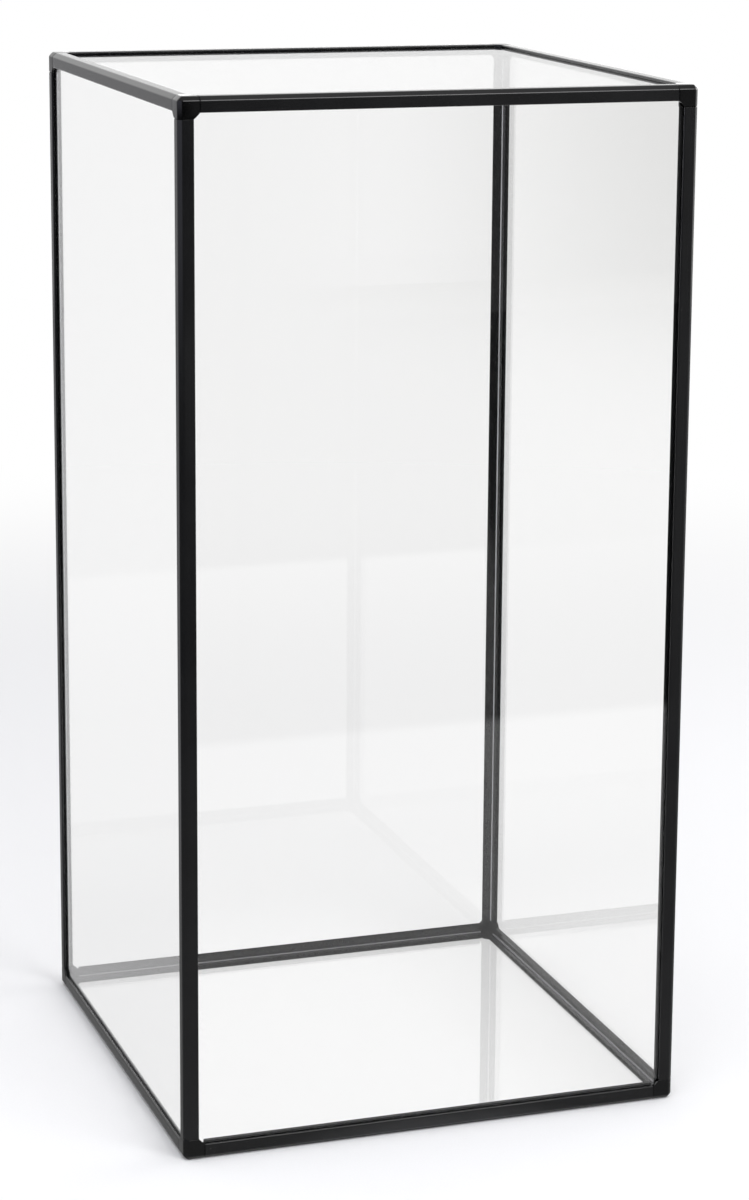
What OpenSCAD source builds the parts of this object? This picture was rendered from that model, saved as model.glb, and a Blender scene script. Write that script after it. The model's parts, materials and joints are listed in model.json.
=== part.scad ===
// Tall display case: clear acrylic sheets held in a black edge profile, joined by eight three-way corner connectors.
// The origin is the centre of the footprint, on the surface that the case stands on. The front faces -Y.

/* [Case] */
// Overall width, left to right
case_w = 305; // [150:1:600]
// Overall depth, front to back
case_d = 305; // [150:1:600]
// Overall height
case_h = 610; // [200:1:1000]

/* [Acrylic sheets] */
// Thickness of every sheet
sheet_t = 2; // [1.5:0.1:4]
// Play between a sheet and each side of its groove
sheet_play = 0.1; // [0.05:0.01:0.2]
// Play between a sheet's edge and the floor of its groove
sheet_edge_play = 0.25; // [0.1:0.05:0.3]

/* [Edge profile] */
// Width of the outer lip, measured from the outer corner
outer_lip_w = 9; // [8:0.1:12]
// Thickness of the outer lip
outer_lip_t = 1.6; // [1:0.1:2]
// Radius on the free edge of the outer lip
lip_edge_r = 0.9; // [0.3:0.1:1]
// How far the long inner lip stands out from the wall of the profile
long_lip_out = 5.9; // [4:0.1:8]
// How far the short inner lip stands out from the wall of the profile
short_lip_out = 3.5; // [3:0.1:8]
// Thickness of the inner lips
inner_lip_t = 1.3; // [1:0.1:2]
// Lead-in bevel on the edge of an inner lip that faces the sheet
lead_in = 0.2; // [0.1:0.1:0.3]
// Length of the slope that thins the free end of an inner lip
lip_slope = 1.6; // [0.5:0.1:2]
// Thickness left at the free end of an inner lip
lip_land = 0.3; // [0.1:0.1:0.6]
// Leg of the 45 degree chamfer along the outer edge
edge_chamfer = 2.4; // [1.5:0.1:3]
// Radius where the chamfer runs into the outer faces
chamfer_blend_r = 1.4; // [0.2:0.1:1.5]
// Leg of the 45 degree fillet in the inner corner
inner_fillet = 0.5; // [0.3:0.1:0.9]
// Diameter of the bore that takes the connector pegs
bore_d = 2.6; // [2:0.1:3]
// Least wall round the bore
bore_wall = 0.9; // [0.6:0.1:1.2]

/* [Corner connectors] */
// How far each leg runs past the widest lip
leg_past = 1.5; // [1:0.1:4]
// Flat left between a gusset and the end of its leg
gusset_land = 0.2; // [0.1:0.1:0.9]
// Length of the pegs
peg_len = 16; // [8:1:30]
// Radial clearance of a peg in its bore
peg_play = 0.05; // [0.02:0.01:0.1]
// Length of the tapered tip of a peg
peg_tip_len = 2; // [1:0.5:4]
// How much thinner the tip of a peg is than its shank
peg_tip_taper = 0.8; // [0.4:0.1:1.2]

/* [Hidden] */
$fn = 48;
arc_steps = 5;
frame_black = [0.05, 0.05, 0.055];
corner_black = [0.02, 0.02, 0.022];
clear_acrylic = [0.88, 0.93, 0.95, 0.3];

// Groove and wall of the profile
groove_w = sheet_t + 2 * sheet_play;
groove_end = outer_lip_t + groove_w;
wall_t = groove_end + inner_lip_t;
long_lip_w = wall_t + long_lip_out;
short_lip_w = wall_t + short_lip_out;

// The bore sits on the profile's diagonal, one bore wall behind the chamfer
bore_at = (edge_chamfer + sqrt(2) * (bore_d / 2 + bore_wall)) / 2;
core_w = max(wall_t, bore_at + bore_d / 2 + bore_wall);

// Connector
leg_len = max(outer_lip_w, long_lip_w, short_lip_w) + leg_past;
gusset = leg_len - outer_lip_w - gusset_land;
peg_d = bore_d - 2 * peg_play;

// Sheets: distance of a sheet's outer face and of its edges from the outside of the case
sheet_in = outer_lip_t + sheet_play;
sheet_edge = core_w + sheet_edge_play;
sheet_w = case_w - 2 * sheet_edge;
sheet_d = case_d - 2 * sheet_edge;
sheet_h = case_h - 2 * sheet_edge;

// Points of an arc about a centre, from one angle to another
function arc(centre, r, from, to) = [
    for (i = [0 : arc_steps])
        let (a = from + (to - from) * i / arc_steps)
            centre + r * [cos(a), sin(a)]
];

// Half an outline carried over its diagonal, in the order that goes on round the section
function mirrored(half) = [
    for (i = [len(half) - 1 : -1 : 0])
        [half[i][1], half[i][0]]
];

// Outline from the chamfer round the outer face; its blend is tangent to both
function chamfer_blend() = arc([edge_chamfer + chamfer_blend_r * tan(22.5), chamfer_blend_r], chamfer_blend_r, 225, 270);

// Outline of the outer lip, from its outer face round its free edge to the floor of the groove
function outer_lip() = concat(
    chamfer_blend(),
    arc([outer_lip_w - lip_edge_r, lip_edge_r], lip_edge_r, 270, 360),
    [[outer_lip_w, outer_lip_t], [core_w, outer_lip_t]]
);

// Outline of an inner lip of this width, from the floor of the groove to the fillet in the inner corner
function inner_lip(lip_w) = [
    [core_w, groove_end],
    [lip_w - lead_in, groove_end],
    [lip_w, groove_end + lead_in],
    [lip_w, groove_end + lead_in + lip_land],
    [lip_w - lip_slope, wall_t],
    [wall_t + inner_fillet, wall_t]
];

// Section of the edge profile: its outer corner is at the origin, its long inner lip runs along +X and its short
// one along +Y, or the other way round where it is turned over
module profile_section(turned_over) {
    x_half = concat(outer_lip(), inner_lip(turned_over ? short_lip_w : long_lip_w));
    y_half = concat(outer_lip(), inner_lip(turned_over ? long_lip_w : short_lip_w));
    difference() {
        polygon(concat(x_half, mirrored(y_half)));
        translate([bore_at, bore_at]) circle(d = bore_d);
    }
}

// Puts a piece modelled in the corner at the origin into one of the eight corners of the case
module at_corner(x, y, z) {
    translate([x * case_w / 2, y * case_d / 2, z > 0 ? case_h : 0])
        mirror([max(x, 0), 0, 0])
            mirror([0, max(y, 0), 0])
                mirror([0, 0, max(z, 0)])
                    children();
}

// Turns an upright piece in the corner at the origin to lie along Z (0), X (1) or Y (2)
module along(axis) {
    rotate(120 * axis, [1, 1, 1]) children();
}

// One length of the profile between two connectors
module edge_bar(axis, span, turned_over) {
    color(frame_black)
        along(axis)
            translate([0, 0, leg_len])
                linear_extrude(span - 2 * leg_len) profile_section(turned_over);
}

// Upright space behind the chamfered outer edge, which trims the legs of a connector
module behind_chamfer() {
    half = concat(chamfer_blend(), [[leg_len, 0], [leg_len, leg_len]]);
    linear_extrude(leg_len) polygon(concat(half, mirrored(half)));
}

// Space behind the small facet where the three chamfers of a connector meet
module behind_facet() {
    reach = 2 * leg_len;
    rotate([0, acos(1 / sqrt(3)), 45])
        translate([-reach, -reach, 2 * edge_chamfer / sqrt(3)])
            cube(2 * reach);
}

// One leg of a connector: two outer lips, the core between them and two inner lips of these widths, with the gusset
// in the face beside it
module connector_leg(x_lip_w, y_lip_w) {
    cube([outer_lip_w, outer_lip_t, leg_len]);
    cube([outer_lip_t, outer_lip_w, leg_len]);
    cube([core_w, core_w, leg_len]);
    translate([0, groove_end, 0]) cube([x_lip_w, inner_lip_t, leg_len]);
    translate([groove_end, 0, 0]) cube([inner_lip_t, y_lip_w, leg_len]);
    linear_extrude(outer_lip_t)
        translate([outer_lip_w, outer_lip_w])
            polygon([[0, 0], [gusset, 0], [0, gusset]]);
}

// Peg that pushes into the bore of a profile
module peg() {
    shank = peg_len - peg_tip_len;
    translate([bore_at, bore_at, leg_len - outer_lip_t])
        cylinder(d = peg_d, h = outer_lip_t + shank);
    translate([bore_at, bore_at, leg_len + shank])
        cylinder(d1 = peg_d, d2 = peg_d - peg_tip_taper, h = peg_tip_len);
}

// Three-way connector in the corner at the origin. The inner lips of the post run on in its upright leg, turned over
// as the post is, and its other legs have short ones
module connector(turned_over) {
    color(corner_black) {
        intersection() {
            union() {
                if (turned_over)
                    connector_leg(short_lip_w, long_lip_w);
                else
                    connector_leg(long_lip_w, short_lip_w);
                for (axis = [1, 2]) along(axis) connector_leg(short_lip_w, short_lip_w);
            }
            behind_chamfer();
            along(1) behind_chamfer();
            along(2) behind_chamfer();
            behind_facet();
        }
        for (axis = [0 : 2]) along(axis) peg();
    }
}

// Posts: the long inner lip holds the front or back sheet on the right, and the side sheet on the left
module post_front_left() { at_corner(-1, -1, -1) edge_bar(0, case_h, true); }
module post_front_right() { at_corner(1, -1, -1) edge_bar(0, case_h, false); }
module post_back_left() { at_corner(-1, 1, -1) edge_bar(0, case_h, true); }
module post_back_right() { at_corner(1, 1, -1) edge_bar(0, case_h, false); }

// Top rails: the short inner lip drops over the walls, so that the lid lifts off easily
module top_rail_front() { at_corner(-1, -1, 1) edge_bar(1, case_w, false); }
module top_rail_back() { at_corner(-1, 1, 1) edge_bar(1, case_w, false); }
module top_rail_left() { at_corner(-1, -1, 1) edge_bar(2, case_d, true); }
module top_rail_right() { at_corner(1, -1, 1) edge_bar(2, case_d, true); }

// Bottom rails: the long inner lip holds the walls
module bottom_rail_front() { at_corner(-1, -1, -1) edge_bar(1, case_w, true); }
module bottom_rail_back() { at_corner(-1, 1, -1) edge_bar(1, case_w, true); }
module bottom_rail_left() { at_corner(-1, -1, -1) edge_bar(2, case_d, false); }
module bottom_rail_right() { at_corner(1, -1, -1) edge_bar(2, case_d, false); }

module top_corner_front_left() { at_corner(-1, -1, 1) connector(true); }
module top_corner_front_right() { at_corner(1, -1, 1) connector(false); }
module top_corner_back_left() { at_corner(-1, 1, 1) connector(true); }
module top_corner_back_right() { at_corner(1, 1, 1) connector(false); }

module bottom_corner_front_left() { at_corner(-1, -1, -1) connector(true); }
module bottom_corner_front_right() { at_corner(1, -1, -1) connector(false); }
module bottom_corner_back_left() { at_corner(-1, 1, -1) connector(true); }
module bottom_corner_back_right() { at_corner(1, 1, -1) connector(false); }

// Sheet of acrylic in the grooves of one face, placed from the corner of the case
module sheet(x, y, z, place, size) {
    color(clear_acrylic) at_corner(x, y, z) translate(place) cube(size);
}

module front_panel() { sheet(-1, -1, -1, [sheet_edge, sheet_in, sheet_edge], [sheet_w, sheet_t, sheet_h]); }
module back_panel() { sheet(-1, 1, -1, [sheet_edge, sheet_in, sheet_edge], [sheet_w, sheet_t, sheet_h]); }
module left_panel() { sheet(-1, -1, -1, [sheet_in, sheet_edge, sheet_edge], [sheet_t, sheet_d, sheet_h]); }
module right_panel() { sheet(1, -1, -1, [sheet_in, sheet_edge, sheet_edge], [sheet_t, sheet_d, sheet_h]); }
module top_panel() { sheet(-1, -1, 1, [sheet_edge, sheet_edge, sheet_in], [sheet_w, sheet_d, sheet_t]); }
module base_panel() { sheet(-1, -1, -1, [sheet_edge, sheet_edge, sheet_in], [sheet_w, sheet_d, sheet_t]); }

post_front_left();
post_front_right();
post_back_left();
post_back_right();
top_rail_front();
top_rail_back();
top_rail_left();
top_rail_right();
bottom_rail_front();
bottom_rail_back();
bottom_rail_left();
bottom_rail_right();
top_corner_front_left();
top_corner_front_right();
top_corner_back_left();
top_corner_back_right();
bottom_corner_front_left();
bottom_corner_front_right();
bottom_corner_back_left();
bottom_corner_back_right();
front_panel();
back_panel();
left_panel();
right_panel();
top_panel();
base_panel();
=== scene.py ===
# %% [markdown]
# # A clear display case with black edge profiles
# The case is a tall box of six clear acrylic sheets. Twelve black extruded profiles grip the edges of the
# sheets, and eight moulded corners hold the profiles together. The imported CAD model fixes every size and
# place, so the work here is on what the eye sees: rounded edges, satin and gloss black, clear plastic, and
# the light round it.

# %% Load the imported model
import json
import math

import bmesh
import bpy
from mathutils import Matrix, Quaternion, Vector

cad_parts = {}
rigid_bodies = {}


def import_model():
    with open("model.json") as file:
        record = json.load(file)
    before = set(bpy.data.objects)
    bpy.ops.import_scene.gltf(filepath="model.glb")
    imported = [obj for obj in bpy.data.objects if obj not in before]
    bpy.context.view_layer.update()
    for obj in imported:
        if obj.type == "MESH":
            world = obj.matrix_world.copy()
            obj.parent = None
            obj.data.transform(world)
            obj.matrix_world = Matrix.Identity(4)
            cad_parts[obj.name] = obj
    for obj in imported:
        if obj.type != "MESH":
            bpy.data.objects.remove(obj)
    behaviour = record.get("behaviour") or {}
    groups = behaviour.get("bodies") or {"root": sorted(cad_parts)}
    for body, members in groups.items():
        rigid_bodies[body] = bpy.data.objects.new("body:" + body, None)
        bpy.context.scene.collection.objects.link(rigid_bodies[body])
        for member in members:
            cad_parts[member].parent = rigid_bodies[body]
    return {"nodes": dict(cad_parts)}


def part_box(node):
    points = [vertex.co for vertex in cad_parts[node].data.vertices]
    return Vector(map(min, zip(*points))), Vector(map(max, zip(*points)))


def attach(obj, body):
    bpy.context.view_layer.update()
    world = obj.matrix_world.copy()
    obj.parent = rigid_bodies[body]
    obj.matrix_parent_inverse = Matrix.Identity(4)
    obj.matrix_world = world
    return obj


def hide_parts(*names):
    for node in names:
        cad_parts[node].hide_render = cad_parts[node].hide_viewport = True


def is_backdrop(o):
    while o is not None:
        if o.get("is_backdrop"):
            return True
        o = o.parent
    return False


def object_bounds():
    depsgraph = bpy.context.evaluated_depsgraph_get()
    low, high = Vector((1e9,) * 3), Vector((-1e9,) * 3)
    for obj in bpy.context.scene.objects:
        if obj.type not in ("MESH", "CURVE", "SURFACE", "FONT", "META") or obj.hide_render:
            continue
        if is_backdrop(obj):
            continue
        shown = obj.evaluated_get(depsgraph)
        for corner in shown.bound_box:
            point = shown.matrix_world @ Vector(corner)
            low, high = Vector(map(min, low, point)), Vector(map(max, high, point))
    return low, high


bpy.ops.object.select_all(action="SELECT")
bpy.ops.object.delete()
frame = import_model()
cad_low, cad_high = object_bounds()
print("loaded", len(frame["nodes"]), "solids; the box runs from", tuple(cad_low), "to", tuple(cad_high))

# %% [markdown]
# ## Sizes
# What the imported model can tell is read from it: the box of a post gives the length of a corner's leg, the
# width of the outer lips and the reach of the long inner lip, and the box of a sheet gives its thickness.
# The few sizes inside the profile's section can't be read from a box, so they are repeated here in metres.

# %% Read the sizes from the frame
MM = 0.001
HALF_W = cad_high.x
HALF_D = cad_high.y
CASE_H = cad_high.z
post_low, post_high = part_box("post_front_left")
sheet_low, sheet_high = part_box("front_panel")
LEG_LEN = post_low.z
OUTER_LIP_W = post_high.x + HALF_W
LONG_LIP_W = post_high.y + HALF_D
SHEET_T = sheet_high.y - sheet_low.y
SHEET_PLAY = 0.1 * MM
OUTER_LIP_T = 1.6 * MM
INNER_LIP_T = 1.3 * MM
SHORT_LIP_OUT = 3.5 * MM
EDGE_CHAMFER = 2.4 * MM
GROOVE_END = OUTER_LIP_T + SHEET_T + 2 * SHEET_PLAY
WALL_T = GROOVE_END + INNER_LIP_T
SHORT_LIP_W = WALL_T + SHORT_LIP_OUT
print(f"leg {LEG_LEN / MM:.2f} mm, inner lips {SHORT_LIP_W / MM:.2f} and {LONG_LIP_W / MM:.2f} mm")

# %% [markdown]
# ## Camera
# The photograph was taken from the left of the front and a little above, with a long lens, so the uprights
# stay almost parallel. The place, the turn in degrees and the small lens shift were worked out from the
# straight edges of the frame.

# %% Place the camera
SENSOR_W = 36
LENS = 99.453
LENS_SHIFT = (-0.03459, -0.08124)
CAMERA_PLACE = (-0.62250, -1.87340, 0.77843)
CAMERA_TURN = (77.653, -0.534, -19.320)
camera_data = bpy.data.cameras.new("camera")
camera_data.sensor_width = SENSOR_W
camera_data.lens = LENS
camera_data.shift_x, camera_data.shift_y = LENS_SHIFT
camera = bpy.data.objects.new("camera", camera_data)
camera.location = CAMERA_PLACE
camera.rotation_euler = [math.radians(a) for a in CAMERA_TURN]
bpy.context.scene.collection.objects.link(camera)
bpy.context.scene.camera = camera
print("camera", tuple(camera.location), "lens", camera_data.lens)

# %% [markdown]
# ## Helpers for modelling by hand
# Modelling by hand means: add a block, select some of its faces or edges, and push, cut or round them. These
# helpers do the selecting, by where the middle of a face or edge lies, and the tidying at the end of each
# piece.


# %% Add a block and pick its parts
def add_block(name, low, high):
    """Adds a block between two corners, with its place in its mesh, and opens it in edit mode."""
    bpy.ops.object.select_all(action="DESELECT")
    low, high = Vector(low), Vector(high)
    bpy.ops.mesh.primitive_cube_add(size=1, location=(low + high) / 2)
    block = bpy.context.object
    block.name = name
    block.scale = high - low
    bpy.ops.object.transform_apply(location=True, rotation=True, scale=True)
    bpy.ops.object.mode_set(mode="EDIT")
    return block


def open_mesh(mode):
    """Deselects everything, in this select mode, and gives the mesh that is open in edit mode."""
    bpy.ops.mesh.select_mode(type=mode)
    bpy.ops.mesh.select_all(action="DESELECT")
    return bmesh.from_edit_mesh(bpy.context.object.data)


def select_parts(parts):
    """Selects these faces or edges of the open mesh."""
    for part in parts:
        part.select_set(True)
    bmesh.update_edit_mesh(bpy.context.object.data)


def pick_faces(test):
    """Selects the faces whose middle and normal pass the test."""
    faces = open_mesh("FACE").faces
    select_parts([f for f in faces if test(f.calc_center_median(), f.normal)])


def pick_edges(test):
    """Selects the edges whose middle and direction pass the test."""
    found = []
    for edge in open_mesh("EDGE").edges:
        start, end = (v.co for v in edge.verts)
        if test((start + end) / 2, (end - start).normalized()):
            found.append(edge)
    select_parts(found)


def pick_folds(least, most, least_length=0):
    """Selects the edges, from a length on, where two faces meet at an angle in this range, in degrees."""
    found = []
    for edge in open_mesh("EDGE").edges:
        angle = math.degrees(edge.calc_face_angle(0))
        if least < angle < most and edge.calc_length() > least_length:
            found.append(edge)
    select_parts(found)


SAME_PLACE = 0.01 * MM


def near(a, b):
    return abs(a - b) < SAME_PLACE


# %% Select and finish whole pieces
def select_only(piece):
    """Selects this piece alone and makes it the active one."""
    bpy.ops.object.select_all(action="DESELECT")
    piece.select_set(True)
    bpy.context.view_layer.objects.active = piece


def apply_modifier(piece, kind, **settings):
    """Adds a modifier with these settings and applies it."""
    select_only(piece)
    modifier = piece.modifiers.new(kind.lower(), kind)
    for key, value in settings.items():
        setattr(modifier, key, value)
    bpy.ops.object.modifier_apply(modifier=modifier.name)


def cut_or_join(piece, tool, operation):
    """Cuts a tool out of a piece, or joins it on, and deletes the tool."""
    apply_modifier(piece, "BOOLEAN", operation=operation, solver="EXACT", object=tool)
    bpy.data.objects.remove(tool)


def finish_surface(piece, angle):
    """Smooth shading over the rounded edges, with the flat faces kept flat."""
    select_only(piece)
    bpy.ops.object.shade_smooth_by_angle(angle=math.radians(angle))
    apply_modifier(piece, "WEIGHTED_NORMAL", mode="FACE_AREA", weight=100, keep_sharp=True)
    shape = bmesh.new()
    shape.from_mesh(piece.data)
    gaps = sum(not e.is_manifold for e in shape.edges)
    shape.free()
    size = tuple(round(d / MM, 2) for d in piece.dimensions)
    print(piece.name, len(piece.data.polygons), "faces, open edges", gaps, "size", size)


# %% [markdown]
# ## The extruded edge profile
# On the real case this is a long pressed section. Two outer lips lie on the outside of the sheets and two
# inner lips on the inside, one long and one short, so each pair makes a groove. It could be drawn as an
# outline and pulled along, but pushing the lips out of a square core shows better which part is which. The
# front left post is made first, in its own place, with the short inner lip behind the front sheet.

# %% Push the lips out of the core
X0, Y0 = -HALF_W, -HALF_D
POST_TOP = CASE_H - LEG_LEN
post = add_block("edge_post_front_left", (X0, Y0, LEG_LEN), (X0 + WALL_T, Y0 + WALL_T, POST_TOP))


def side_face(c, n):
    return n.x > 0.9


def back_face(c, n):
    return n.y > 0.9


for offset in (OUTER_LIP_T, GROOVE_END):
    pick_faces(side_face)
    bpy.ops.mesh.bisect(plane_co=(0, Y0 + offset, 0), plane_no=(0, 1, 0))
    pick_faces(back_face)
    bpy.ops.mesh.bisect(plane_co=(X0 + offset, 0, 0), plane_no=(1, 0, 0))
OUTER_LIPS = (0, OUTER_LIP_T, OUTER_LIP_W, OUTER_LIP_W)
INNER_LIPS = (GROOVE_END, WALL_T, SHORT_LIP_W, LONG_LIP_W)
for low, high, reach_x, reach_y in (OUTER_LIPS, INNER_LIPS):
    pick_faces(lambda c, n: side_face(c, n) and near(c.x, X0 + WALL_T) and Y0 + low < c.y < Y0 + high)
    bpy.ops.mesh.extrude_region_move(TRANSFORM_OT_translate={"value": (reach_x - WALL_T, 0, 0)})
    pick_faces(lambda c, n: back_face(c, n) and near(c.y, Y0 + WALL_T) and X0 + low < c.x < X0 + high)
    bpy.ops.mesh.extrude_region_move(TRANSFORM_OT_translate={"value": (0, reach_y - WALL_T, 0)})
bpy.ops.mesh.select_all(action="SELECT")
bpy.ops.mesh.dissolve_limited(angle_limit=math.radians(1))
print("lips pushed out:", len(bmesh.from_edit_mesh(post.data).faces), "faces before rounding")

# %% [markdown]
# The free ends of the inner lips are thinned by a long slope, which leaves only a narrow land against the
# sheet. A cut across the inside face of each lip marks where the slope begins, and the edge at its end is
# then moved towards the sheet.


# %% Slope the ends of the inner lips
def long_edges(places):
    """The edges along the post that stand at these offsets from the outer corner."""

    def test(c, d):
        return abs(d.z) > 0.99 and any(near(c.x - X0, u) and near(c.y - Y0, v) for u, v in places)

    return test


LIP_SLOPE = 1.6 * MM
SLOPE_DEPTH = 0.8 * MM
pick_faces(lambda c, n: back_face(c, n) and near(c.y, Y0 + WALL_T))
bpy.ops.mesh.bisect(plane_co=(X0 + SHORT_LIP_W - LIP_SLOPE, 0, 0), plane_no=(1, 0, 0))
pick_faces(lambda c, n: side_face(c, n) and near(c.x, X0 + WALL_T))
bpy.ops.mesh.bisect(plane_co=(0, Y0 + LONG_LIP_W - LIP_SLOPE, 0), plane_no=(0, 1, 0))
pick_edges(long_edges([(SHORT_LIP_W, WALL_T)]))
bpy.ops.transform.translate(value=(0, -SLOPE_DEPTH, 0))
pick_edges(long_edges([(WALL_T, LONG_LIP_W)]))
bpy.ops.transform.translate(value=(-SLOPE_DEPTH, 0, 0))
print("ends of the inner lips sloped over", LIP_SLOPE / MM, "mm")

# %% [markdown]
# The section now gets its soft edges. The outer corner is a wide 45 degree chamfer, the free edges of the
# outer lips are well rounded, and the edges of the inner lips have a small bevel that leads the sheet in.
# The inner corner is filled by a round fillet. Each is an edge bevel of its own width, and a very fine one
# then breaks the long edges that are still sharp.

# %% Chamfer and round the long edges
CHAMFER_BLEND = 0.58 * MM
LIP_ROUND = 0.85 * MM
LEAD_IN = 0.2 * MM
INNER_FILLET = 1.5 * MM
FINE_BREAK = 0.1 * MM
pick_edges(long_edges([(0, 0)]))
bpy.ops.mesh.bevel(offset=EDGE_CHAMFER, segments=1, affect="EDGES")
pick_edges(long_edges([(EDGE_CHAMFER, 0), (0, EDGE_CHAMFER)]))
bpy.ops.mesh.bevel(offset=CHAMFER_BLEND, segments=4, affect="EDGES")
pick_edges(long_edges([(OUTER_LIP_W, 0), (0, OUTER_LIP_W)]))
bpy.ops.mesh.bevel(offset=LIP_ROUND, segments=5, affect="EDGES")
pick_edges(long_edges([(SHORT_LIP_W, GROOVE_END), (GROOVE_END, LONG_LIP_W)]))
bpy.ops.mesh.bevel(offset=LEAD_IN, segments=1, affect="EDGES")
pick_edges(long_edges([(WALL_T, WALL_T)]))
bpy.ops.mesh.bevel(offset=INNER_FILLET, segments=6, affect="EDGES")
pick_folds(least=20, most=100, least_length=CASE_H / 2)
bpy.ops.mesh.bevel(offset=FINE_BREAK, segments=2, affect="EDGES")
print("long edges rounded:", len(bmesh.from_edit_mesh(post.data).faces), "faces")

# %% [markdown]
# A bore runs the length of the section and takes the pegs of the corners. The saw leaves a square end, whose
# outside is broken with a fine bevel. Where a profile meets a corner, the two bevels make the thin groove
# that shows in the photograph.

# %% Drill the bore
BORE_D = 2.6 * MM
BORE_AT = 2.756 * MM
ROUND_SIDES = 32
bpy.ops.object.mode_set(mode="OBJECT")
bpy.ops.object.select_all(action="DESELECT")
bpy.ops.mesh.primitive_cylinder_add(
    vertices=ROUND_SIDES,
    radius=BORE_D / 2,
    depth=CASE_H,
    location=(X0 + BORE_AT, Y0 + BORE_AT, CASE_H / 2),
)
cut_or_join(post, bpy.context.object, "DIFFERENCE")
print("bored:", len(post.data.polygons), "faces")

# %% Break the sawn ends
END_BREAK = 0.3 * MM
OUTER_SKIN = OUTER_LIP_T - 0.05 * MM


def outer_end_edge(c, d):
    """An edge of a sawn end that lies on the outside of the profile."""
    sawn = near(c.z, LEG_LEN) or near(c.z, POST_TOP)
    return sawn and abs(d.z) < 0.01 and min(c.x - X0, c.y - Y0) < OUTER_SKIN


bpy.ops.object.mode_set(mode="EDIT")
pick_edges(outer_end_edge)
bpy.ops.mesh.bevel(offset=END_BREAK, segments=2, affect="EDGES")
bpy.ops.object.mode_set(mode="OBJECT")
finish_surface(post, angle=40)

# %% [markdown]
# A fine light line runs along the inner corner of the frame. It is a painted highlight: what causes it on
# the real case can't be told, so a paler finish stands in for it. The faces of the round fillet that lie
# next to the short lip are marked for that finish, by their angle in degrees round the middle of the fillet.

# %% Mark the painted highlight line
LINE_FROM = 42
FILLET_SLACK = 0.05 * MM
marked = 0
for face in post.data.polygons:
    across = X0 + WALL_T + INNER_FILLET - face.center.x
    along = Y0 + WALL_T + INNER_FILLET - face.center.y
    off_round = abs(math.hypot(across, along) - INNER_FILLET)
    on_fillet = min(across, along) > 0 and off_round < FILLET_SLACK
    if on_fillet and math.degrees(math.atan2(along, across)) > LINE_FROM:
        face.material_index = 1
        marked += 1
print("faces marked for the light line:", marked)

# %% [markdown]
# ## Copies of the post, and the rails
# All twelve profiles are cut from the same section, so the post is copied and turned. The footprint is
# square, so a quarter turn about the middle carries one corner of the case onto the next, and half a turn
# about the left-right axis carries the front onto the back. A rail is a copy that is sawn shorter and laid
# down. The bottom rails lie with the long inner lip up the wall, and the top rails with the short one, so
# that the lid lifts off easily.


# %% Copy and turn
def turned_copy(source, name, turn=(0, 0, 0), move=(0, 0, 0)):
    """A copy with its own mesh, turned about the origin and then moved, with its place in its mesh."""
    select_only(source)
    bpy.ops.object.duplicate(linked=False)
    copy = bpy.context.object
    copy.name = name
    copy.rotation_euler = [math.radians(a) for a in turn]
    copy.location = move
    bpy.ops.object.transform_apply(location=True, rotation=True, scale=True)
    return copy


def turned_over(source, name):
    """A copy turned over about the left-right axis through the middle of the case."""
    return turned_copy(source, name, (180, 0, 0), (0, 0, CASE_H))


OVER = {"front_left": "back_left", "front_right": "back_right"}
OVER.update({back: front for front, back in OVER.items()})
profiles = {"post_front_left": post}
profiles["post_front_right"] = turned_copy(post, "edge_post_front_right", (0, 0, 90))
for place in ("front_left", "front_right"):
    profiles["post_" + OVER[place]] = turned_over(profiles["post_" + place], "edge_post_" + OVER[place])
print("posts:", [p.name for p in profiles.values()])

# %% Saw a bar to the length of a rail
bar = turned_copy(post, "bar")
bpy.ops.object.mode_set(mode="EDIT")
bar_mesh = open_mesh("VERT")
for v in bar_mesh.verts:
    v.select_set(v.co.z > CASE_H / 2)
bar_mesh.select_flush(True)
bmesh.update_edit_mesh(bar.data)
bpy.ops.transform.translate(value=(0, 0, 2 * HALF_W - CASE_H))
bpy.ops.object.mode_set(mode="OBJECT")
print("bar", tuple(round(d / MM, 2) for d in bar.dimensions))

# %% Lay the bar down as rails
bottom_rail = turned_copy(bar, "bottom_rail", (90, 0, 0), (0, HALF_W, HALF_W))
laid = turned_copy(bar, "laid", (0, -90, 0), (HALF_W, 0, HALF_W))
top_rail = turned_over(laid, "top_rail")
BOTTOM_TURNS = {"left": 0, "front": 90, "right": 180, "back": 270}
TOP_TURNS = {"back": 0, "left": 90, "front": 180, "right": 270}
for level, source, turns in (("bottom", bottom_rail, BOTTOM_TURNS), ("top", top_rail, TOP_TURNS)):
    for place, turn in turns.items():
        profiles[f"{level}_rail_{place}"] = turned_copy(source, f"edge_{level}_{place}", (0, 0, turn))
for pattern in (bar, bottom_rail, laid, top_rail):
    bpy.data.objects.remove(pattern)
print("profiles:", len(profiles))

# %% [markdown]
# ## The moulded three-way corner
# A corner is one injection moulding with three legs that are square to each other. Its outside carries the
# chamfers of the profiles on, and its lips hold the sheets right into the corner. It starts as a block with
# three chamfered edges, and everything that isn't leg or lip is then cut away.

# %% Chamfer the block
LEG_END_SLOPE = 0.6 * MM
LEG_INSIDE = LEG_LEN - 0.1 * MM
corner = add_block("corner_bottom_front_left", (X0, Y0, 0), (X0 + LEG_LEN, Y0 + LEG_LEN, LEG_LEN))


def outer_edge(c, d):
    return [near(c.x, X0), near(c.y, Y0), near(c.z, 0)].count(True) == 2


def leg_end_edge(c, d):
    """An edge on the outside of the moulding, at the end of one of its legs."""
    along = sorted([c.x - X0, c.y - Y0, c.z])
    return near(along[2], LEG_LEN) and along[0] < EDGE_CHAMFER and along[1] < LEG_INSIDE


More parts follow.
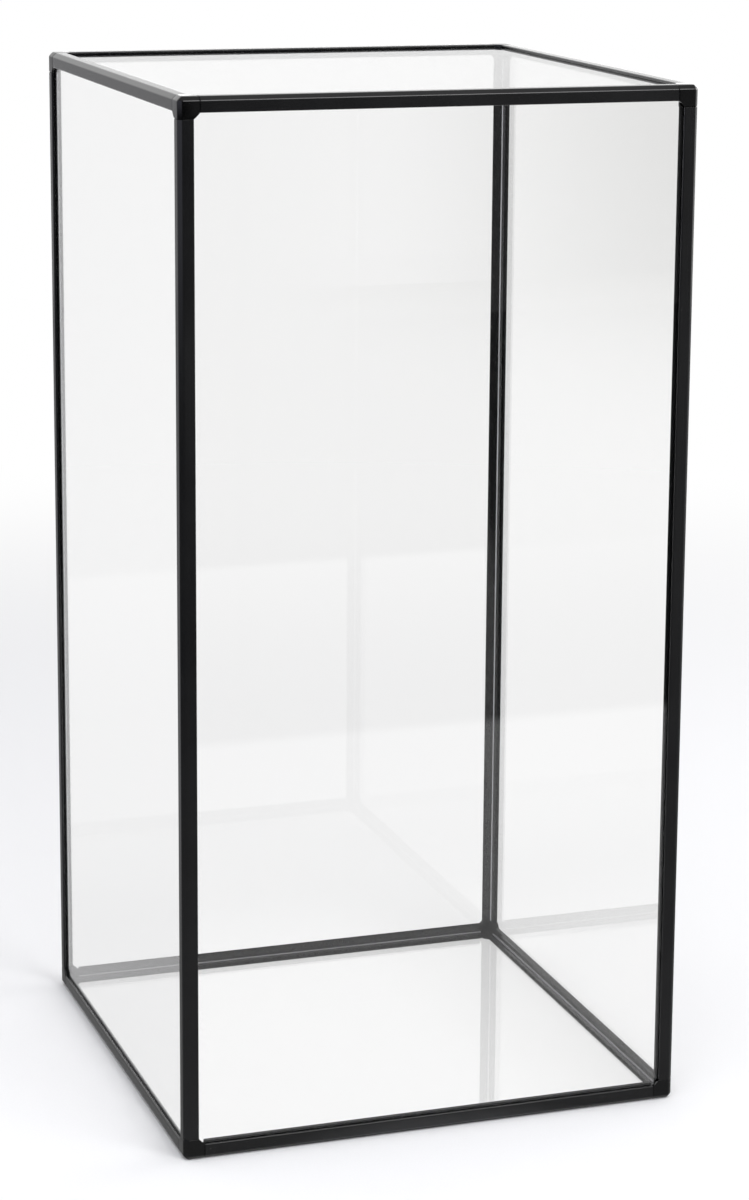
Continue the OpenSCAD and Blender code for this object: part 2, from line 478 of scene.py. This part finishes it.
pick_edges(outer_edge)
bpy.ops.mesh.bevel(offset=EDGE_CHAMFER, segments=1, affect="EDGES")
pick_folds(least=25, most=60)
bpy.ops.mesh.bevel(offset=CHAMFER_BLEND, segments=4, affect="EDGES")
pick_edges(leg_end_edge)
bpy.ops.mesh.bevel(offset=LEG_END_SLOPE, segments=1, affect="EDGES")
bpy.ops.object.mode_set(mode="OBJECT")
print("chamfered block:", len(corner.data.polygons), "faces")

# %% [markdown]
# Four kinds of cutter are enough: the space inside the case, a slot for each sheet, a window outside each
# sheet, whose slanted corner leaves the small gusset, and a window inside each sheet. The three legs look
# the same along the diagonal of the corner, so a third of a turn about that diagonal carries a cutter to the
# next sheet. Only the inner lip that goes on from the long lip of the post is wider than the others.

# %% Make the cutters
GUSSET_LAND = 0.2 * MM
GUSSET = LEG_LEN - OUTER_LIP_W - GUSSET_LAND
PAST = 1 * MM
FAR = LEG_LEN + PAST
MID_SLOT = OUTER_LIP_T + SHEET_T / 2


def third_turn(source, name, count):
    """A copy turned by thirds about the diagonal of the front left bottom corner."""
    turn = Quaternion((1, 1, 1), math.radians(120 * count))
    centre = Vector((X0, Y0, 0))
    angles = [math.degrees(a) for a in turn.to_euler()]
    return turned_copy(source, name, angles, centre - turn @ centre)


def add_cutter(x, y, z_low, z_high, gusset=0):
    """A block over the base from this far inside the outer corner to past the ends of the legs."""
    cutter = add_block("cutter", (X0 + x, Y0 + y, z_low), (X0 + FAR, Y0 + FAR, z_high))
    if gusset:
        pick_edges(lambda c, d: abs(d.z) > 0.9 and near(c.x, X0 + x) and near(c.y, Y0 + y))
        bpy.ops.mesh.bevel(offset=gusset, segments=1, affect="EDGES")
    bpy.ops.object.mode_set(mode="OBJECT")
    return cutter


# %% Cut the pocket, the slots and the windows
cut_or_join(corner, add_cutter(WALL_T, WALL_T, WALL_T, FAR), "DIFFERENCE")
for count, first_lip in enumerate((SHORT_LIP_W, LONG_LIP_W, SHORT_LIP_W)):
    slot = add_cutter(WALL_T, WALL_T, OUTER_LIP_T, GROOVE_END)
    outside = add_cutter(OUTER_LIP_W, OUTER_LIP_W, -PAST, MID_SLOT, GUSSET)
    inside = add_cutter(first_lip, SHORT_LIP_W, MID_SLOT, WALL_T + PAST)
    for cutter in (slot, outside, inside):
        cut_or_join(corner, third_turn(cutter, "turned", count), "DIFFERENCE")
        bpy.data.objects.remove(cutter)
print("corner after cutting:", len(corner.data.polygons), "faces")

# %% [markdown]
# Each leg ends in a peg that pushes into the bore of a profile. A peg is a plain rod whose tip is pushed out
# once more and made thinner, so that it finds the bore. It shows only when the lid is off.

# %% Make a peg
PEG_D = 2.5 * MM
PEG_LEN = 16 * MM
TIP_D = 1.7 * MM
TIP_LEN = 2 * MM
TIP_SHRINK = TIP_D / PEG_D
PEG_ROOT = 2 * MM
shank = PEG_LEN - TIP_LEN + PEG_ROOT
bpy.ops.object.select_all(action="DESELECT")
bpy.ops.mesh.primitive_cylinder_add(
    vertices=ROUND_SIDES,
    radius=PEG_D / 2,
    depth=shank,
    location=(X0 + BORE_AT, Y0 + BORE_AT, LEG_LEN - PEG_ROOT + shank / 2),
)
peg = bpy.context.object
bpy.ops.object.transform_apply(location=True, rotation=True, scale=True)
bpy.ops.object.mode_set(mode="EDIT")
pick_faces(lambda c, n: n.z > 0.9)
bpy.ops.mesh.extrude_region_move(TRANSFORM_OT_translate={"value": (0, 0, TIP_LEN)})
bpy.ops.transform.resize(
    value=(TIP_SHRINK, TIP_SHRINK, 1), center_override=(X0 + BORE_AT, Y0 + BORE_AT, 0)
)
bpy.ops.object.mode_set(mode="OBJECT")
print("peg", tuple(round(d / MM, 2) for d in peg.dimensions))

# %% Join the pegs on and round the moulding
MERGE_WITHIN = 0.05 * MM
DROP_WITHIN = 0.02 * MM
MOULD_ROUND = 0.18 * MM
MOULD_FOLD = 50
for count in range(3):
    cut_or_join(corner, third_turn(peg, "peg", count), "UNION")
bpy.data.objects.remove(peg)
bpy.ops.object.mode_set(mode="EDIT")
bpy.ops.mesh.select_all(action="SELECT")
bpy.ops.mesh.remove_doubles(threshold=MERGE_WITHIN)
bpy.ops.mesh.dissolve_degenerate(threshold=DROP_WITHIN)
bpy.ops.object.mode_set(mode="OBJECT")
fold = math.radians(MOULD_FOLD)
apply_modifier(corner, "BEVEL", width=MOULD_ROUND, segments=3, limit_method="ANGLE", angle_limit=fold)
print("corner with pegs:", len(corner.data.polygons), "faces")

# %% [markdown]
# The long inner lip makes a corner left- or right-handed, so there are two mouldings, each the mirror image
# of the other. Turned about the upright axis, and over onto the top, the two serve all eight places.

# %% Mirror the corner and copy the pair
twin = turned_copy(corner, "corner_bottom_back_left")
bpy.ops.object.mode_set(mode="EDIT")
bpy.ops.mesh.select_all(action="SELECT")
bpy.ops.transform.resize(value=(1, -1, 1), center_override=(0, 0, 0))
bpy.ops.mesh.normals_make_consistent(inside=False)
bpy.ops.object.mode_set(mode="OBJECT")
finish_surface(corner, angle=50)
finish_surface(twin, angle=50)
corners = {"bottom_corner_front_left": corner, "bottom_corner_back_left": twin}
corners["bottom_corner_front_right"] = turned_copy(corner, "corner_bottom_front_right", (0, 0, 90))
corners["bottom_corner_back_right"] = turned_copy(twin, "corner_bottom_back_right", (0, 0, -90))
for place in ("front_left", "front_right", "back_left", "back_right"):
    source = corners["bottom_corner_" + place]
    corners["top_corner_" + OVER[place]] = turned_over(source, "corner_top_" + OVER[place])
print("corners:", len(corners))

# %% [markdown]
# ## The clear sheets
# Each sheet is cut from flat acrylic, and its sawn edges are scraped so that they don't cut the hand. A
# block of the size of the CAD sheet gets a fine bevel round all its edges. Two cuts are needed, one for the
# four walls and one for the base and the top.

# %% Cut and scrape the sheets
SCRAPE = 0.2 * MM
SIDE_TURNS = {"right": 90, "back": 180, "left": 270}


def cut_sheet(name, node):
    """A sheet of the size and place of a CAD node, with scraped edges."""
    sheet = add_block(name, *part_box(node))
    bpy.ops.mesh.select_all(action="SELECT")
    bpy.ops.mesh.bevel(offset=SCRAPE, segments=2, affect="EDGES")
    bpy.ops.object.mode_set(mode="OBJECT")
    finish_surface(sheet, angle=40)
    return sheet


wall = cut_sheet("sheet_front", "front_panel")
base = cut_sheet("sheet_base", "base_panel")
sheets = {"front_panel": wall, "base_panel": base}
for place, turn in SIDE_TURNS.items():
    sheets[place + "_panel"] = turned_copy(wall, "sheet_" + place, (0, 0, turn))
sheets["top_panel"] = turned_over(base, "sheet_top")
print("sheets:", sorted(sheets))

# %% [markdown]
# ## Shader groups
# Three effects turn up on more than one finish: small specks of dust, the fine lines that a die draws along
# an extrusion, and the uneven cloud of handling. Each is built once as a node group with named sockets, and
# every material places it with its own values.


# %% Node helpers
def add_node(tree, kind, inputs=None, **settings):
    """Adds a node, sets its properties, and fills its inputs with values or links."""
    made = tree.nodes.new(kind)
    for key, value in settings.items():
        setattr(made, key, value)
    for key, value in (inputs or {}).items():
        if isinstance(value, bpy.types.NodeSocket):
            tree.links.new(value, made.inputs[key])
        else:
            made.inputs[key].default_value = value
    return made


def new_group(name, inputs, outputs):
    """A shader node group with named inputs and outputs."""
    tree = bpy.data.node_groups.new(name, "ShaderNodeTree")
    for label, kind, value in inputs:
        socket = tree.interface.new_socket(label, in_out="INPUT", socket_type=kind)
        socket.default_value = value
    for label, kind in outputs:
        tree.interface.new_socket(label, in_out="OUTPUT", socket_type=kind)
    return tree, tree.nodes.new("NodeGroupInput").outputs, tree.nodes.new("NodeGroupOutput").inputs


def calculate(tree, operation, first, second, **settings):
    """The result of a sum with two values."""
    values = {0: first, 1: second}
    return add_node(tree, "ShaderNodeMath", values, operation=operation, **settings).outputs[0]


def map_range(tree, value, low, high, start=0.0, end=1.0):
    """Runs from low to high while the value runs from start to end."""
    ends = {"Value": value, "From Min": start, "From Max": end, "To Min": low, "To Max": high}
    return add_node(tree, "ShaderNodeMapRange", ends).outputs[0]


# %% Specks of dust
specks, given, wanted = new_group(
    "specks",
    [
        ("Position", "NodeSocketVector", (0, 0, 0)),
        ("Per metre", "NodeSocketFloat", 200),
        ("Share", "NodeSocketFloat", 0.1),
        ("Size", "NodeSocketFloat", 0.1),
    ],
    [("Mask", "NodeSocketFloat")],
)
scatter = {"Vector": given["Position"], "Scale": given["Per metre"]}
cells = add_node(specks, "ShaderNodeTexVoronoi", scatter).outputs
chance = add_node(specks, "ShaderNodeSeparateColor", {"Color": cells["Color"]}).outputs
chosen = calculate(specks, "LESS_THAN", chance["Red"], given["Share"])
radius = calculate(specks, "MULTIPLY", chance["Green"], given["Size"])
dot = map_range(specks, cells["Distance"], 0.0, 1.0, start=radius, end=0.0)
specks.links.new(calculate(specks, "MULTIPLY", chosen, dot), wanted["Mask"])
print("group", specks.name, "with", len(specks.nodes), "nodes")

# %% Drawn lines
drawn_lines, given, wanted = new_group(
    "drawn_lines",
    [("Position", "NodeSocketVector", (0, 0, 0)), ("Stretch", "NodeSocketVector", (1, 1, 1))],
    [("Height", "NodeSocketFloat")],
)
factors = {0: given["Position"], 1: given["Stretch"]}
pulled = add_node(drawn_lines, "ShaderNodeVectorMath", factors, operation="MULTIPLY").outputs[0]
streaks = add_node(drawn_lines, "ShaderNodeTexNoise", {"Vector": pulled, "Scale": 1.0, "Detail": 3.0})
drawn_lines.links.new(streaks.outputs[0], wanted["Height"])
print("group", drawn_lines.name, "with", len(drawn_lines.nodes), "nodes")

# %% Handling clouds
handling, given, wanted = new_group(
    "handling",
    [("Position", "NodeSocketVector", (0, 0, 0)), ("Per metre", "NodeSocketFloat", 20)],
    [("Cloud", "NodeSocketFloat")],
)
billows = {"Vector": given["Position"], "Scale": given["Per metre"], "Detail": 4.0}
cloud = add_node(handling, "ShaderNodeTexNoise", billows).outputs[0]
handling.links.new(map_range(handling, cloud, 0.0, 1.0, start=0.3, end=0.7), wanted["Cloud"])
print("group", handling.name, "with", len(handling.nodes), "nodes")

# %% [markdown]
# ## Satin black profile
# The profile is black all through its skin, with a silky gloss. Close up it shows fine lines along its
# length, a slightly uneven sheen and a few pale specks of dust. The lines have to run along each piece, so
# there is one material for each of the three directions, and they differ only in how the noise is stretched.
# The light line in the inner corner is a painted highlight: the same finish in a pale tone, which is paler
# on the posts than on the rails.


# %% Material helpers
def place_group(tree, group, inputs):
    """Places a node group with these inputs and gives its one output."""
    return add_node(tree, "ShaderNodeGroup", inputs, node_tree=group).outputs[0]


def new_finish(name):
    """A material, its node tree, its shader and the position that its patterns read."""
    finish = bpy.data.materials.new(name)
    finish.use_nodes = True
    tree = finish.node_tree
    position = tree.nodes.new("ShaderNodeTexCoord").outputs["Object"]
    return finish, tree, tree.nodes["Principled BSDF"].inputs, position


def mix_colours(tree, factor, first, second):
    return add_node(tree, "ShaderNodeMix", {0: factor, 6: first, 7: second}, data_type="RGBA").outputs[2]


def add_bump(tree, shader, height, strength, distance):
    """Lets a pattern bend the surface a little."""
    bump = add_node(tree, "ShaderNodeBump", {"Height": height, "Strength": strength, "Distance": distance})
    tree.links.new(bump.outputs[0], shader["Normal"])


def mix_in(tree, factor, shine):
    """Puts another shader over the material's own, by this factor."""
    both = {0: factor, 1: tree.nodes["Principled BSDF"].outputs[0], 2: shine.outputs[0]}
    whole = add_node(tree, "ShaderNodeMixShader", both)
    tree.links.new(whole.outputs[0], tree.nodes["Material Output"].inputs["Surface"])


# %% Build the satin black
DUST = (0.30, 0.30, 0.29, 1)
ALONG, ACROSS = 20, 5200
BLACK = (0.0075, 0.0075, 0.0080, 1), (0.0105, 0.0105, 0.0110, 1)
SATIN_ROUGHNESS = (0.09, 0.14)
# Pale tones that paint the highlight line in the inner corner, paler on the posts than on the rails.
PAINTED_HIGHLIGHT_RAIL = (0.26, 0.26, 0.27, 1), (0.32, 0.32, 0.33, 1)
PAINTED_HIGHLIGHT_POST = (0.80, 0.80, 0.81, 1), (0.88, 0.88, 0.89, 1)
PAINTED_HIGHLIGHT_TONES = {"x": PAINTED_HIGHLIGHT_RAIL, "y": PAINTED_HIGHLIGHT_RAIL, "z": PAINTED_HIGHLIGHT_POST}
STRETCHES = {
    "x": (ALONG, ACROSS, ACROSS),
    "y": (ACROSS, ALONG, ACROSS),
    "z": (ACROSS, ACROSS, ALONG),
}


def satin(name, stretch, darker, paler):
    """The finish of a profile, with its lines along the stretch and its skin between two tones."""
    finish, tree, shader, position = new_finish(name)
    lines = place_group(tree, drawn_lines, {"Position": position, "Stretch": stretch})
    cloud = place_group(tree, handling, {"Position": position, "Per metre": 35})
    dust = place_group(tree, specks, {"Position": position, "Per metre": 160, "Share": 0.16, "Size": 0.07})
    skin = mix_colours(tree, cloud, darker, paler)
    tree.links.new(mix_colours(tree, dust, skin, DUST), shader["Base Color"])
    tree.links.new(map_range(tree, lines, *SATIN_ROUGHNESS), shader["Roughness"])
    add_bump(tree, shader, lines, strength=0.05, distance=0.02 * MM)
    return finish


satin_black = {axis: satin("satin_black_" + axis, stretch, *BLACK) for axis, stretch in STRETCHES.items()}
# The light line is painted: a pale copy of the satin paints a highlight on the inner fillet.
painted_highlight_line = {axis: satin("painted_highlight_line_" + axis, stretch, *PAINTED_HIGHLIGHT_TONES[axis]) for axis, stretch in STRETCHES.items()}
print("satin black and pale lines in three directions")

# %% [markdown]
# ## Gloss black corners
# The corners are moulded plastic, so they are smoother and glossier than the profiles. A moulding is never
# quite flat: a very low, wide ripple bends the reflections a little.

# %% Build the gloss black
DEEP_BLACK = (0.0016, 0.0016, 0.0018, 1), (0.0024, 0.0024, 0.0026, 1)
GLOSS_ROUGHNESS = (0.05, 0.09)
gloss_black, tree, shader, position = new_finish("gloss_black")
ripple = place_group(tree, handling, {"Position": position, "Per metre": 260})
dust = place_group(tree, specks, {"Position": position, "Per metre": 220, "Share": 0.12, "Size": 0.07})
black = mix_colours(tree, ripple, *DEEP_BLACK)
tree.links.new(mix_colours(tree, dust, black, DUST), shader["Base Color"])
tree.links.new(map_range(tree, ripple, *GLOSS_ROUGHNESS), shader["Roughness"])
add_bump(tree, shader, ripple, strength=0.06, distance=0.1 * MM)
print("gloss black made")

# %% [markdown]
# ## Clear acrylic
# The sheets are clear and nearly colourless. What shows that they are there is the gloss of their faces, a
# slight loss of light, and what has settled on them: a few dust specks and short hairlines from wiping.
# Their index of refraction is a little below the 1.49 of real acrylic, for the look of the panes. The light
# path lets lamps shine through the sheets without the slow search for caustics.

# %% Build the clear acrylic
ACRYLIC_IOR = 1.43
CLEAR = (0.997, 0.997, 0.996, 1)
SETTLED = (0.55, 0.55, 0.55, 1)
LAMP_TINT = (0.985, 0.985, 0.985, 1)
WIPED_ROUGHNESS = (0.0, 0.25)
WIPE_TURN = (0.6, 0.5, 0.9)
WIPE_STRETCH = (1.0, 1.0, 0.035)
acrylic, tree, shader, position = new_finish("clear_acrylic")
shader["Transmission Weight"].default_value = 1.0
shader["IOR"].default_value = ACRYLIC_IOR
dust = place_group(tree, specks, {"Position": position, "Per metre": 70, "Share": 0.035, "Size": 0.05})
wipe = {"Vector": position, "Rotation": WIPE_TURN, "Scale": WIPE_STRETCH}
slant = add_node(tree, "ShaderNodeMapping", wipe).outputs[0]
wiped = place_group(tree, specks, {"Position": slant, "Per metre": 60, "Share": 0.05, "Size": 0.012})
settled = calculate(tree, "MAXIMUM", dust, wiped)
tree.links.new(mix_colours(tree, settled, CLEAR, SETTLED), shader["Base Color"])
tree.links.new(map_range(tree, wiped, *WIPED_ROUGHNESS), shader["Roughness"])
lamp_path = tree.nodes.new("ShaderNodeLightPath").outputs["Is Shadow Ray"]
mix_in(tree, lamp_path, add_node(tree, "ShaderNodeBsdfTransparent", {"Color": LAMP_TINT}))
print("clear acrylic made")

# %% [markdown]
# ## Put the pieces on their bodies
# The lid lifts off: the top profiles, the top corners and the top sheet ride on the lid, and all the rest on
# the case. Each piece stands for one CAD solid, which stays behind it for contact.

# %% Ride, finish and replace
AXIS_BY_PLACE = {"front": "x", "back": "x", "left": "y", "right": "y"}
for kind, pieces in (("edge_profile", profiles), ("corner_connector", corners), ("clear_acrylic", sheets)):
    for node, piece in pieces.items():
        if kind == "clear_acrylic":
            finishes = [acrylic]
        elif kind == "corner_connector":
            finishes = [gloss_black]
        else:
            axis = "z" if node.startswith("post") else AXIS_BY_PLACE[node.split("_")[-1]]
            finishes = [satin_black[axis], painted_highlight_line[axis]]
        for finish in finishes:
            piece.data.materials.append(finish)
        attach(piece, "lid" if node.startswith("top") else "case")
        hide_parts(node)
print("pieces in place:", len(profiles) + len(corners) + len(sheets))

# %% [markdown]
# ## Floor
# The case stands on white paper. Round the case the paper takes the light and the shadow like any matt
# white, and further out it fades into the plain white of the background. Plain paper under these lamps can't
# give all the tones of the photograph, so the light path tells apart how a ray came to the paper, and each
# kind of ray finds its own tone there.


# %% Helpers for tones
WHITE = (1, 1, 1, 1)


def smooth_step(tree, value, low, high):
    """A mask that goes gently from 0 at the first place to 1 at the second."""
    ends = {"Value": value, "From Min": low, "From Max": high}
    return add_node(tree, "ShaderNodeMapRange", ends, interpolation_type="SMOOTHSTEP").outputs[0]


def multiply(tree, first, second):
    return calculate(tree, "MULTIPLY", first, second)


def blend(tree, factor, first, second):
    return add_node(tree, "ShaderNodeMix", {0: factor, 2: first, 3: second}, data_type="FLOAT").outputs[0]


def ray_masks(tree):
    """Masks for rays that met nothing matt: passed on by the sheets, just mirrored by a sheet, let through
    a sheet after a mirroring, and mirrored anywhere on the way."""
    rays = tree.nodes.new("ShaderNodeLightPath").outputs
    unmirrored = calculate(tree, "LESS_THAN", rays["Glossy Depth"], 0.5)
    undiffused = calculate(tree, "LESS_THAN", rays["Diffuse Depth"], 0.5)
    passed_on = multiply(tree, rays["Is Transmission Ray"], multiply(tree, unmirrored, undiffused))
    mirrored = multiply(tree, rays["Is Glossy Ray"], multiply(tree, rays["Is Singular Ray"], undiffused))
    glossy = calculate(tree, "SUBTRACT", undiffused, unmirrored, use_clamp=True)
    let_out = multiply(tree, rays["Is Transmission Ray"], glossy)
    return passed_on, mirrored, let_out, glossy


# %% Lay the paper
PAPER_SIZE = 6
PAPER_TONES = (0.86, 0.86, 0.875, 1), (0.89, 0.89, 0.90, 1)
bpy.ops.object.select_all(action="DESELECT")
bpy.ops.mesh.primitive_plane_add(size=PAPER_SIZE, location=(0, 0, 0))
floor = bpy.context.object
floor.name = "paper_floor"
paper, tree, shader, position = new_finish("white_paper")
fibre = place_group(tree, handling, {"Position": position, "Per metre": 900})
tree.links.new(mix_colours(tree, fibre, *PAPER_TONES), shader["Base Color"])
shader["Roughness"].default_value = 0.9
shader["Specular IOR Level"].default_value = 0.1
floor.data.materials.append(paper)
floor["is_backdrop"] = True
print("floor", tuple(floor.dimensions))

# %% [markdown]
# A share of the paper's tone shines by itself, as painted light, in tones that the next cells set. For the
# camera the share grows far off, and through the sheets it is large everywhere. For a ray that was mirrored
# it is the whole tone of the paper outside the case, so that the black frame mirrors painted tones instead
# of the lit white beside it. The places are in metres.

# %% Choose the share that shines
FAR_OFF = (0.7, 1.8)
OUTSIDE_CASE = (0.15, 0.19)
LEFT_OF_CASE = (-0.150, -0.156)
THROUGH_SHEETS = (0.8, 1.0)
distance = add_node(tree, "ShaderNodeVectorMath", {0: position}, operation="LENGTH").outputs["Value"]
place = add_node(tree, "ShaderNodeSeparateXYZ", {0: position}).outputs
camera_ray = tree.nodes.new("ShaderNodeLightPath").outputs["Is Camera Ray"]
passed_on, mirrored, let_out, glossy = ray_masks(tree)
far_off = smooth_step(tree, distance, *FAR_OFF)
outside = smooth_step(tree, distance, *OUTSIDE_CASE)
outside = calculate(tree, "MAXIMUM", outside, smooth_step(tree, place["X"], *LEFT_OF_CASE))
through = map_range(tree, far_off, *THROUGH_SHEETS)
share = blend(tree, passed_on, multiply(tree, glossy, outside), through)
share = blend(tree, camera_ray, share, far_off)
print("share of the paper that shines chosen")

# %% [markdown]
# For the gloss of the frame the paper glows in painted reflection tones: dim in front of the case and dimmer
# further off, as it is where black cards stand round a product, and half dark behind it. The sheets mirror
# it
# brighter: the front sheet mirrors the paper as far as the paper's front edge, which lightens the lower part
# of all that is seen through that sheet. Beside the case the mirrored paper is a painted shade.

# %% Painted tones of the paper in the gloss
DIM_REACH = (0.2, 1.25)
PAINTED_DIM_TONES = (0.30, 0.03)
RIGHT_SIDE = (0.25, 0.55)
FRONT_EDGE = (-0.97, -0.93)
BEFORE_CASE = (-0.05, -0.2)
BEHIND_CASE = (0.05, 0.5)
DARK = (0.03, 0.03, 0.03, 1)
FRONT_RIGHT = (0.18, 0.18, 0.18, 1)
FRONT_PAPER = (0.95, 0.95, 0.95, 1)
# Painted shade on the mirrored paper beside the case, and on the glossy paper low behind it.
PAINTED_SHADE_BESIDE_CASE = (0.76, 0.76, 0.77, 1)
PAINTED_SHADE_LOW_FLOOR = (0.36, 0.36, 0.37, 1)
MIRRORED_WALL = (0.80, 0.80, 0.81, 1)
# Painted reflection: for the gloss the paper dims in front of the case and further off.
dim = map_range(tree, distance, *PAINTED_DIM_TONES, *DIM_REACH)
front_tone = mix_colours(tree, smooth_step(tree, place["X"], *RIGHT_SIDE), dim, FRONT_RIGHT)
paper_tone = mix_colours(tree, smooth_step(tree, place["Y"], *FRONT_EDGE), DARK, FRONT_PAPER)
paper_tone = mix_colours(tree, smooth_step(tree, place["Y"], *BEFORE_CASE), PAINTED_SHADE_BESIDE_CASE, paper_tone)
front_tone = mix_colours(tree, mirrored, front_tone, paper_tone)
behind_tone = mix_colours(tree, mirrored, PAINTED_SHADE_LOW_FLOOR, MIRRORED_WALL)
behind_tone = mix_colours(tree, let_out, behind_tone, WHITE)
gloss_tone = mix_colours(tree, smooth_step(tree, place["Y"], *BEHIND_CASE), front_tone, behind_tone)
print("paper tones in the gloss set")

# %% [markdown]
# Through the sheets the paper glows nearly white, with painted shade: it falls off far behind on the right,
# is a little darker just past the case, and darker again under the right of the base. The camera itself
# meets plain white.

# %% Painted tones of the paper through the sheets
FLOOR_FALL_X, FLOOR_FALL_Y = (0.75, 1.9), (0.6, 3.2)
PAST_FROM, PAST_TO = (0.12, 0.3), (1.4, 0.6)
BASE_FROM, BASE_TO, BASE_REACH = (0.03, 0.15), (0.17, 0.15), (0.35, 0.2)
# Painted shade through the sheets: falloff far behind on the right, just past the case, under the base's
# right.
PAINTED_FALLOFF_FLOOR = (0.77, 0.77, 0.76, 1)
PAINTED_SHADE_PAST_CASE = (0.92, 0.92, 0.92, 1)
PAINTED_SHADE_UNDER_BASE = (0.87, 0.87, 0.87, 1)
fallen = smooth_step(tree, place["X"], *FLOOR_FALL_X)
fallen = multiply(tree, fallen, smooth_step(tree, place["Y"], *FLOOR_FALL_Y))
seen_tone = mix_colours(tree, fallen, WHITE, PAINTED_FALLOFF_FLOOR)
past = multiply(tree, smooth_step(tree, place["Y"], *PAST_FROM), smooth_step(tree, place["Y"], *PAST_TO))
seen_tone = mix_colours(tree, past, seen_tone, PAINTED_SHADE_PAST_CASE)
under = multiply(tree, smooth_step(tree, place["X"], *BASE_FROM), smooth_step(tree, place["X"], *BASE_TO))
under = multiply(tree, under, smooth_step(tree, distance, *BASE_REACH))
seen_tone = mix_colours(tree, under, seen_tone, PAINTED_SHADE_UNDER_BASE)
tone = mix_colours(tree, passed_on, gloss_tone, seen_tone)
tone = mix_colours(tree, camera_ray, tone, WHITE)
mix_in(tree, share, add_node(tree, "ShaderNodeEmission", {"Color": tone, "Strength": 1.0}))
print("white paper with", len(tree.nodes), "nodes")

# %% [markdown]
# ## Studio
# Behind the case the studio is a bright white wall, and in front of it a dim room, which is why the front
# faces of the frame stay black. The wall is darker low on its left, for the gloss of the frame. The camera
# meets plain white all round, and through the sheets the wall falls off to the right. The ranges here are
# parts of a direction, from -1 to 1.

# %% Paint the dim room
LIGHT_RIGHT = (0.26, 0.34)
LEFTWARD = (-0.6, -0.95)
ABOVE_FLOOR = (-0.22, -0.08)
OVERHEAD = (0.5, 0.9)
CEILING = (0.5, 0.5, 0.5, 1)
LEFT_WALL = (0.60, 0.61, 0.72, 1)
world = bpy.data.worlds.new("studio")
bpy.context.scene.world = world
world.use_nodes = True
tree = world.node_tree
direction = tree.nodes.new("ShaderNodeTexCoord").outputs["Generated"]
heading = add_node(tree, "ShaderNodeSeparateXYZ", {0: direction}).outputs
leftward = smooth_step(tree, heading["X"], *LEFTWARD)
above_floor = smooth_step(tree, heading["Z"], *ABOVE_FLOOR)
room = mix_colours(tree, smooth_step(tree, heading["X"], *LIGHT_RIGHT), DARK, FRONT_RIGHT)
room = mix_colours(tree, smooth_step(tree, heading["Z"], *OVERHEAD), room, CEILING)
room = mix_colours(tree, multiply(tree, leftward, above_floor), room, LEFT_WALL)
print("dim room painted")

# %% Paint the bright wall
BEHIND = (0.0, 0.5)
LOW_LEFT_X, LOW_LEFT_Z = (0.0, -0.2), (0.12, 0.0)
WALL_FALL_X, WALL_FALL_Z = (0.31, 0.42), (-0.36, -0.02)
LOW_WALL = (0.50, 0.50, 0.51, 1)
FALLEN_WALL = (0.70, 0.70, 0.69, 1)
passed_on, mirrored, let_out, _ = ray_masks(tree)
low_tone = mix_colours(tree, mirrored, LOW_WALL, MIRRORED_WALL)
low_tone = mix_colours(tree, let_out, low_tone, WHITE)
low_left = smooth_step(tree, heading["X"], *LOW_LEFT_X)
low_left = multiply(tree, low_left, smooth_step(tree, heading["Z"], *LOW_LEFT_Z))
bright_wall = mix_colours(tree, low_left, WHITE, low_tone)
walls = mix_colours(tree, smooth_step(tree, heading["Y"], *BEHIND), room, bright_wall)
fallen = smooth_step(tree, heading["X"], *WALL_FALL_X)
fallen = multiply(tree, fallen, smooth_step(tree, heading["Z"], *WALL_FALL_Z))
backdrop = mix_colours(tree, passed_on, walls, mix_colours(tree, fallen, WHITE, FALLEN_WALL))
camera_ray = tree.nodes.new("ShaderNodeLightPath").outputs["Is Camera Ray"]
backdrop = mix_colours(tree, camera_ray, backdrop, WHITE)
tree.links.new(backdrop, tree.nodes["Background"].inputs["Color"])
tree.nodes["Background"].inputs["Strength"].default_value = 1.0
print("studio painted with", len(tree.nodes), "nodes")

# %% [markdown]
# ## Lamps
# A key lamp from the right and one from the front make the soft shadows and the glints, and a wide fill from
# above lifts the paper. A card behind lights the black pieces alone, so that the inside of the frame doesn't
# sink into black.


# %% Hang the softboxes
def hang_softbox(name, place, size, radiance, colour, in_gloss=True, only_on=None):
    """A lamp that looks at the middle of the case; its power follows from how bright its face is."""
    lamp = bpy.data.lights.new(name, "AREA")
    lamp.shape = "RECTANGLE"
    lamp.size, lamp.size_y = size
    lamp.energy = radiance * math.pi * lamp.size * lamp.size_y
    lamp.color = colour
    hung = bpy.data.objects.new(name, lamp)
    hung.location = place
    aim = Vector((0, 0, CASE_H / 2)) - Vector(place)
    hung.rotation_euler = aim.to_track_quat("-Z", "Y").to_euler()
    hung.visible_camera = False
    hung.visible_transmission = False
    hung.visible_glossy = in_gloss
    bpy.context.scene.collection.objects.link(hung)
    if only_on:
        hung.light_linking.receiver_collection = only_on
    print(name, "at", place, "gives", round(lamp.energy, 2), "W")


NEUTRAL = (1.0, 1.0, 1.0)
WARM = (1.0, 0.985, 0.965)
COOL = (0.97, 0.98, 1.0)
black_pieces = bpy.data.collections.new("black_pieces")
for piece in list(profiles.values()) + list(corners.values()):
    black_pieces.objects.link(piece)
hang_softbox("key_softbox", (1.9, 0.2, 1.1), (1.2, 1.2), 2.4, WARM)
hang_softbox("front_softbox", (0.6, -1.45, 1.95), (0.9, 0.9), 4.6, NEUTRAL)
hang_softbox("back_card", (0.34, 0.95, 0.33), (1.22, 0.66), 2.0, NEUTRAL, only_on=black_pieces)
hang_softbox("ceiling_fill", (-0.2, -1.2, 2.0), (3.0, 3.0), 1.42, COOL, in_gloss=False)

# %% [markdown]
# ## Finish
# The colours are shown as they are, without a film look. The box of the dressed case is printed.

# %% Print the box and finish
bpy.context.scene.view_settings.view_transform = "Standard"
low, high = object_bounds()
print("visual box", tuple(low), tuple(high))
